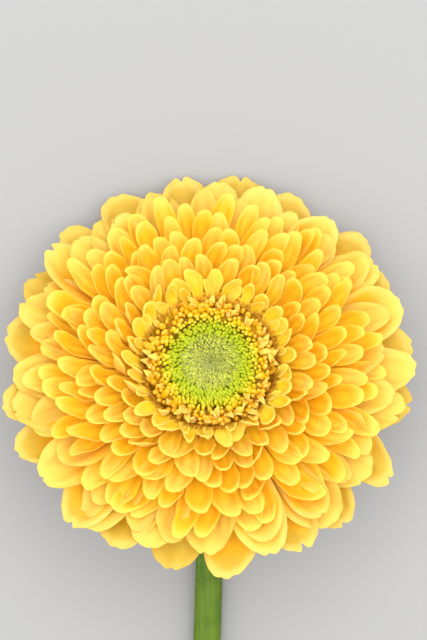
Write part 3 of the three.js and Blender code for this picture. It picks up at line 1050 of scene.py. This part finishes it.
class GreenHeartOperator(bpy.types.Operator):
    """The unopened green buds in the middle of the disc, on their dome"""

    bl_idname = "gerbera.green_heart"
    bl_label = "Green heart"

    def execute(self, context):
        c = colours()
        # The first stop, in the middle of the heart, is painted shade of the dimple.
        stops = (
            (0.0, c.heart_shade),
            (0.12, c.heart_pale),
            (0.42, c.heart_pale),
            (0.62, c.heart_green),
            (0.85, c.heart_green),
            (1.0, c.heart_lime),
        )
        skin = bud_skin("heart skin", stops, c.heart_lime)
        rng = np.random.default_rng(SEEDS["heart"])
        seats = [(r, heading) for r, heading in bud_seats(rng) if r <= HEART_EDGE]

        def shaper(r, rng):
            width = sizes().bud_width * lerp(0.7, 1.14, min(r / 9, 1)) * rng.uniform(0.8, 1.2)
            lean = 0.2 + 0.6 * smoothstep(1.5, 7, r) - 0.35 * smoothstep(9, 11, r)
            return Bud(width, width * rng.uniform(1.5, 2.3), lean, 0.1, 0.38, 0.12 * rng.normal())

        def age(r):
            return r / HEART_EDGE

        blank = Blank(bud_ball(8, 7))
        buds_piece("heart_buds", seats, blank, shaper, age, skin, "green_heart", rng)
        dome = [(r, disc_height(r) - 1.7) for r in np.linspace(10.6, 0, 12)]
        bed = turned_piece("heart_bed", [(0, COLLAR_LOW), (7.4, COLLAR_LOW), (11, 7.2), *dome], steps=48)
        # The bed seen between the buds is mottled with the painted shade colour, over its own green.
        green = plain_skin("heart bed skin", c.heart_shade, c.heart_green, 500, roughness=0.7)
        finish_piece(bed, "green_heart", green)
        return {"FINISHED"}


class DiscFloretsOperator(bpy.types.Operator):
    """The ring of buds that are opening round the green heart"""

    bl_idname = "gerbera.disc_florets"
    bl_label = "Disc florets"

    def execute(self, context):
        c = colours()
        stops = ((0.0, c.heart_lime), (0.3, c.bud_yellow), (0.6, c.bud_orange), (1.0, c.bud_orange))
        skin = bud_skin("opening bud skin", stops, c.lobe_pale)
        rng = np.random.default_rng(SEEDS["disc"])
        outer = [(r, heading) for r, heading in bud_seats(rng) if r > HEART_EDGE]
        seats = [(r, heading) for r, heading in outer if rng.uniform() > gappy(r)]

        def shaper(r, rng):
            outward = ripeness(r)
            width = lerp(1.2, 2.05, outward) * rng.uniform(0.65, 1.25)
            lift = 0.35 * rng.normal() * outward
            lobes = 0.16 * smoothstep(0.2, 0.7, outward)
            lean = lerp(0.6, -0.45, outward) + 0.2 * rng.normal()
            return Bud(width, width * rng.uniform(1.4, 2.1), lean, lobes, rng.uniform(0.1, 0.45), lift)

        blank = Blank(bud_ball(15, 8))
        buds_piece("opening_buds", seats, blank, shaper, ripeness, skin, "disc_florets", rng)
        foot, rim = (7.9, COLLAR_LOW), [(15.6, 7.3), (15, 7.6), (12.2, 7.9), (11.5, 7.4)]
        bed = turned_piece("disc_bed", [foot, (11.7, COLLAR_LOW), *rim, foot])
        # The bed seen between the buds is mottled with the painted shade colour, over the bed's own colour.
        dark = plain_skin("disc bed skin", c.bed_shade, c.bed, 500, roughness=0.7)
        finish_piece(bed, "disc_florets", dark)
        self.lobes(c, seats, rng)
        return {"FINISHED"}

    def lobes(self, c, seats, rng):
        """The pale lobes of some open buds, one or two on each, which mostly point outwards."""
        pale = (c.bud_orange, c.bud_orange, c.lobe_pale, c.lobe_pale, c.bud_orange)
        finish = tissue("lobe tissue", *pale, veins=9, through=0.3)
        blank = FloretBlank(6, 8)
        outer = [seat for seat in seats if seat[0] > LOBES_EDGE]
        shapes = []
        for r, heading in (outer[i] for i in rng.permutation(len(outer))[:OPEN_BUDS]):
            lean, sideways = rng.normal(-0.1, 0.3), rng.normal(0, 0.3)
            for petal in range(1 + (rng.uniform() < 0.3)):
                length = rng.uniform(1.5, 2.9)
                spread = rng.uniform(0.3, 0.9) * length
                spine = ((0.25, -0.6), (0.5, 0.5 * length), (0.5 + spread, 0.75 * length))
                points = floret(blank, spine, rng.uniform(1.2, 1.7), 0.2, LOBE_FORM, rng)
                points = turned_about(points, petal * 2.1 + rng.normal(0, 0.5))
                shapes.append(stood_at(points, r, heading, lean, sideways, disc_height(r) + 0.1))
        piece = grown("open_lobes", blank, shapes, blank.tones(rng.uniform(0, 1, len(shapes)), 7, 1.2))
        finish_piece(piece, "disc_florets", finish)


# Hairs


def hair(blank, root, direction, length, width, droop):
    """A hair from root along direction, thinner to its tip and bent towards droop."""
    x, y, z = blank.verts.T
    direction = direction / np.linalg.norm(direction)
    across = np.cross(direction, (0.3, 0.5, 0.8))
    across /= np.linalg.norm(across)
    over = np.cross(direction, across)
    thin = width / 2 * (1 - 0.75 * z)
    points = root + np.outer(z * length, direction) + np.outer(z**2 * length, droop)
    return points + np.outer(x * thin, across) + np.outer(y * thin, over)


def hairs_piece(name, shapes, blank, node, material):
    """Hairs as one finished piece."""
    rng = np.random.default_rng(len(shapes))
    piece = grown(name, blank, shapes, {"tone": rng.uniform(0, 1, len(shapes))})
    finish_piece(piece, node, material)


class PappusOperator(bpy.types.Operator):
    """The bristles in the gap round the disc, and the pale fuzz in the middle of the heart"""

    bl_idname = "gerbera.pappus"
    bl_label = "Pappus"

    def execute(self, context):
        c = colours()
        rng = np.random.default_rng(SEEDS["pappus"])
        blank = hair_blank(3)
        bristle = plain_skin("bristle skin", c.bristle, c.bed, 700, roughness=0.6, through=0.3)
        shapes = []
        for _ in range(sizes().bristles):
            r = rng.uniform(*GAP_RING)
            ground = lerp(7.6, 9.4, smoothstep(15.6, 16.9, r))  # it rises to the inner florets' ring
            root = np.array([r, 0, ground - 0.2])
            lean = rng.normal((0.5, 0, 1), (0.3, 0.3, 0.1))
            length = rng.uniform(1.1, 2.5) + 1.5 * rng.uniform() ** 4
            shape = hair(blank, root, lean, length, sizes().bristle_width, rng.normal(0, 0.06, 3))
            heading = rng.uniform(0, 2 * math.pi)
            sparse = 0.8 * max(0, math.sin(heading))  # fewer stand on the side away from the stem
            if rng.uniform() > sparse:
                shapes.append(world(turned_about(shape, heading)))
        hairs_piece("pappus_bristles", shapes, blank, "disc_florets", bristle)

        fuzz = plain_skin("fuzz skin", c.fuzz, c.fuzz, 900, roughness=0.7, through=0.35)
        shapes = []
        for _ in range(sizes().fuzz):
            r = 0.6 + 7.4 * rng.uniform() ** 0.85
            root = np.array([r, 0, disc_height(r) - rng.uniform(0.2, 0.6)])
            lean = np.array([-rng.uniform(0.5, 1.6) * min(r / 2, 1), rng.normal(0, 0.3), 1])
            length = rng.uniform(0.7, 1.5)
            shape = hair(blank, root, lean, length, sizes().fuzz_width, rng.normal(0, 0.1, 3))
            shapes.append(world(turned_about(shape, rng.uniform(0, 2 * math.pi))))
        hairs_piece("heart_fuzz", shapes, blank, "green_heart", fuzz)
        return {"FINISHED"}


# Stem


def stem_radius(run):
    """The radius of the stem at a distance along it from the origin."""
    lift = max(0, run - NECK_LEAD) / (NECK_TURN * NECK_BEND_RADIUS)
    taper = max(0, NECK_LEAD - run) / (STEM_LENGTH + NECK_LEAD)
    return NECK_RADIUS + (FOOT_RADIUS - NECK_RADIUS) * taper + (CALYX_RADIUS - NECK_RADIUS) * lift**2


def stem_place(run):
    """The stem's midline, and its upward direction, at a distance along it from the origin."""
    back = min(run, NECK_LEAD)
    turn = (run - back) / NECK_BEND_RADIUS
    bow = STEM_BOW * math.sin(math.pi * min(back, 0) / STEM_LENGTH) ** 2
    rise = rest_height(stem_radius(back)) + NECK_BEND_RADIUS * (1 - math.cos(turn))
    middle = np.array([-bow, back + NECK_BEND_RADIUS * math.sin(turn), rise])
    return middle, np.array([0, -math.sin(turn), math.cos(turn)])


STEM_TOP = NECK_LEAD + NECK_TURN * NECK_BEND_RADIUS - PLAY


class StemOperator(bpy.types.Operator):
    """The bare stem with its faint ribs, its cut face and its soft hairs"""

    bl_idname = "gerbera.stem"
    bl_label = "Stem"

    def execute(self, context):
        finish_piece(self.skin(), "stem", self.finish(colours()))
        self.hairs()
        return {"FINISHED"}

    def skin(self):
        """Spins the stem straight, with the recess of its cut face, and then bends it along its line."""
        runs = np.concatenate([np.linspace(-STEM_LENGTH, 0, 90), np.linspace(0, STEM_TOP, 34)[1:]])
        rim = [(0, 0.7), (0.25, 0.7), (0.36, 0.25), (0.8, 0.1), (0.95, 0.0), (1.0, 0.12)]
        profile = [(share, -STEM_LENGTH + depth) for share, depth in rim] + [(1, run) for run in runs[1:]]
        profile += [(0.6, STEM_TOP), (0, STEM_TOP)]
        piece = spun("stem_skin", [(x, run, 0) for x, run in profile], 36, (0, 1, 0), 1e-4)
        for vertex in piece.data.vertices:
            x, run, z = vertex.co
            angle = math.atan2(z, x)
            ribs = 1 + 0.012 * math.cos(9 * angle + 0.01 * run) + 0.006 * math.sin(0.11 * run + 2 * angle)
            middle, up = stem_place(run)
            radius = stem_radius(run) * ribs
            point = middle + np.array([x * radius, 0, 0]) + up * z * radius
            point[2] = max(point[2], 0)
            vertex.co = point * MM
        bpy.ops.object.shade_smooth_by_angle(angle=math.radians(35))
        return piece

    def finish(self, c):
        """Green with darker streaks along the stem, and pale pith in its cut face."""
        shade = Shade("stem skin")
        place = shade.place()
        parts = shade.node("SeparateXYZ", None, {0: place})
        stretched = shade.node("Mapping", None, {"Vector": place, "Scale": (900, 30, 900)}).out("Vector")
        streaks = shade.noise(1, 3, stretched)
        mottle = shade.noise(160, 4)
        dark = shade.between(streaks * 0.6 + mottle * 0.4, 0.4, 0.62)
        colour = shade.mix(dark, c.stem, c.stem_dark)
        cut = shade.between(parts.out("Y") * -1, (STEM_LENGTH - 0.35) * MM, (STEM_LENGTH - 0.1) * MM)
        colour = shade.mix(cut, colour, c.pith)
        normal = shade.bump(streaks + mottle * 0.4, 0.0002, 0.6)
        return shade.surface(colour, 0.62 + mottle * 0.15, normal, specular=0.35)

    def hairs(self):
        """Soft hairs all round the stem, apart from those that would go into the surface."""
        rng = np.random.default_rng(SEEDS["stem_hairs"])
        blank = hair_blank(2)
        shapes = []
        for _ in range(sizes().stem_hairs):
            run = rng.uniform(-STEM_LENGTH + 1, STEM_TOP - 0.5)
            angle = rng.uniform(0, 2 * math.pi)
            middle, up = stem_place(run)
            out = np.array([math.cos(angle), 0, 0]) + up * math.sin(angle)
            root = middle + out * stem_radius(run) * 0.985
            length = sizes().hair_length * rng.uniform(0.35, 1)
            direction = out + rng.normal(0, 0.35, 3)
            droop = rng.normal(0, 0.15, 3)
            shape = hair(blank, root, direction, length, sizes().hair_width, droop)
            if shape[:, 2].min() > SURFACE_GAP:
                shapes.append(shape)
        hairs_piece("stem_hairs", shapes, blank, "stem", hair_skin())


# Stage

CAMERA_DISTANCE = 900  # from the bloom
CAMERA_LEAN = math.radians(9)  # from looking straight down
PIXEL = 0.256  # millimetres of the bloom in a pixel of the picture
BLOOM_AT = (210.2, 372.5)  # the middle of the bloom's outline in the picture


class StageOperator(bpy.types.Operator):
    """The pale surface, the soft lights and the camera"""

    bl_idname = "gerbera.stage"
    bl_label = "Stage"

    def execute(self, context):
        deselect()
        bpy.ops.mesh.primitive_plane_add(size=6, location=(0, 0, 0))
        floor = context.object
        floor.name = "floor"
        shade = Shade("floor")
        floor.data.materials.append(shade.surface(colours().floor, 0.9))
        floor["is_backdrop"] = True
        self.lights()
        self.camera(context)
        return {"FINISHED"}

    def lights(self):
        """Four soft lights that aim at the bloom, and the even light of a pale room."""
        target = Vector((0, HEAD_Y * MM, HEAD_Z * MM))
        lights = (
            ("front_light", (0.05, 0.45, 1.6), 1.5, 21),
            ("back_light", (0.0, 1.5, 1.1), 1.5, 6),
            ("right_light", (1.0, 0.2, 1.4), 1.2, 5),
            ("left_light", (-1.1, -0.2, 1.4), 1.2, 5),
        )
        for name, place, size, power in lights:
            bpy.ops.object.light_add(type="AREA", location=place)
            light = bpy.context.object
            light.name = name
            light.data.size = size
            light.data.energy = power
            light.rotation_euler = (target - light.location).to_track_quat("-Z", "Y").to_euler()
        world_light = bpy.data.worlds.new("soft room")
        world_light.use_nodes = True
        back = world_light.node_tree.nodes["Background"]
        back.inputs["Color"].default_value = (1, 1, 1, 1)
        back.inputs["Strength"].default_value = 1.2
        bpy.context.scene.world = world_light
        bpy.context.scene.view_settings.view_transform = "Standard"

    def camera(self, context):
        """The camera, moved sideways so that the bloom is where the picture has it."""
        bpy.ops.object.camera_add(rotation=(-CAMERA_LEAN, 0, 0))
        camera = context.object
        camera.name = "camera"
        height = PHOTO[1] * PIXEL
        camera.data.lens = camera.data.sensor_width * CAMERA_DISTANCE / height
        camera.data.clip_start = 0.05
        right = (PHOTO[0] / 2 - BLOOM_AT[0]) * PIXEL
        up = (BLOOM_AT[1] - PHOTO[1] / 2) * PIXEL
        offset = Vector((right, up, CAMERA_DISTANCE))
        turn = Matrix.Rotation(-CAMERA_LEAN, 3, "X")
        camera.location = (Vector((0, HEAD_Y, HEAD_Z)) + turn @ offset) * MM
        context.scene.camera = camera


class GerberaPanel(bpy.types.Panel):
    """Lists the pieces of the gerbera, with their sizes and colours"""

    bl_idname = "VIEW3D_PT_gerbera"
    bl_label = "Cut gerbera"
    bl_space_type = "VIEW_3D"
    bl_region_type = "UI"
    bl_category = "Gerbera"

    def draw(self, context):
        layout = self.layout
        for operator in OPERATORS:
            layout.operator(operator.bl_idname)
        for group in (context.scene.gerbera_sizes, context.scene.gerbera_colours):
            box = layout.box()
            for name in group.bl_rna.properties.keys():
                if name not in ("rna_type", "name"):
                    box.prop(group, name)


OPERATORS = (
    StageOperator,
    InvolucreOperator,
    RayFloretsOperator,
    TransFloretsOperator,
    InnerFloretsOperator,
    DiscFloretsOperator,
    GreenHeartOperator,
    PappusOperator,
    StemOperator,
)
CLASSES = (GerberaSizes, GerberaColours, *OPERATORS, GerberaPanel)


def register():
    for cls in CLASSES:
        bpy.utils.register_class(cls)
    bpy.types.Scene.gerbera_sizes = PointerProperty(type=GerberaSizes)
    bpy.types.Scene.gerbera_colours = PointerProperty(type=GerberaColours)


def unregister():
    del bpy.types.Scene.gerbera_sizes
    del bpy.types.Scene.gerbera_colours
    for cls in reversed(CLASSES):
        bpy.utils.unregister_class(cls)


def main():
    register()
    bpy.ops.gerbera.stage()
    bpy.ops.gerbera.involucre()
    bpy.ops.gerbera.ray_florets()
    bpy.ops.gerbera.trans_florets()
    bpy.ops.gerbera.inner_florets()
    bpy.ops.gerbera.disc_florets()
    bpy.ops.gerbera.green_heart()
    bpy.ops.gerbera.pappus()
    bpy.ops.gerbera.stem()
    plain = lambda box: [[float(x) for x in corner] for corner in box]
    {"cad": plain(CAD_BOX), "visual": plain(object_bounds())}


if __name__ == "__main__":
    main()
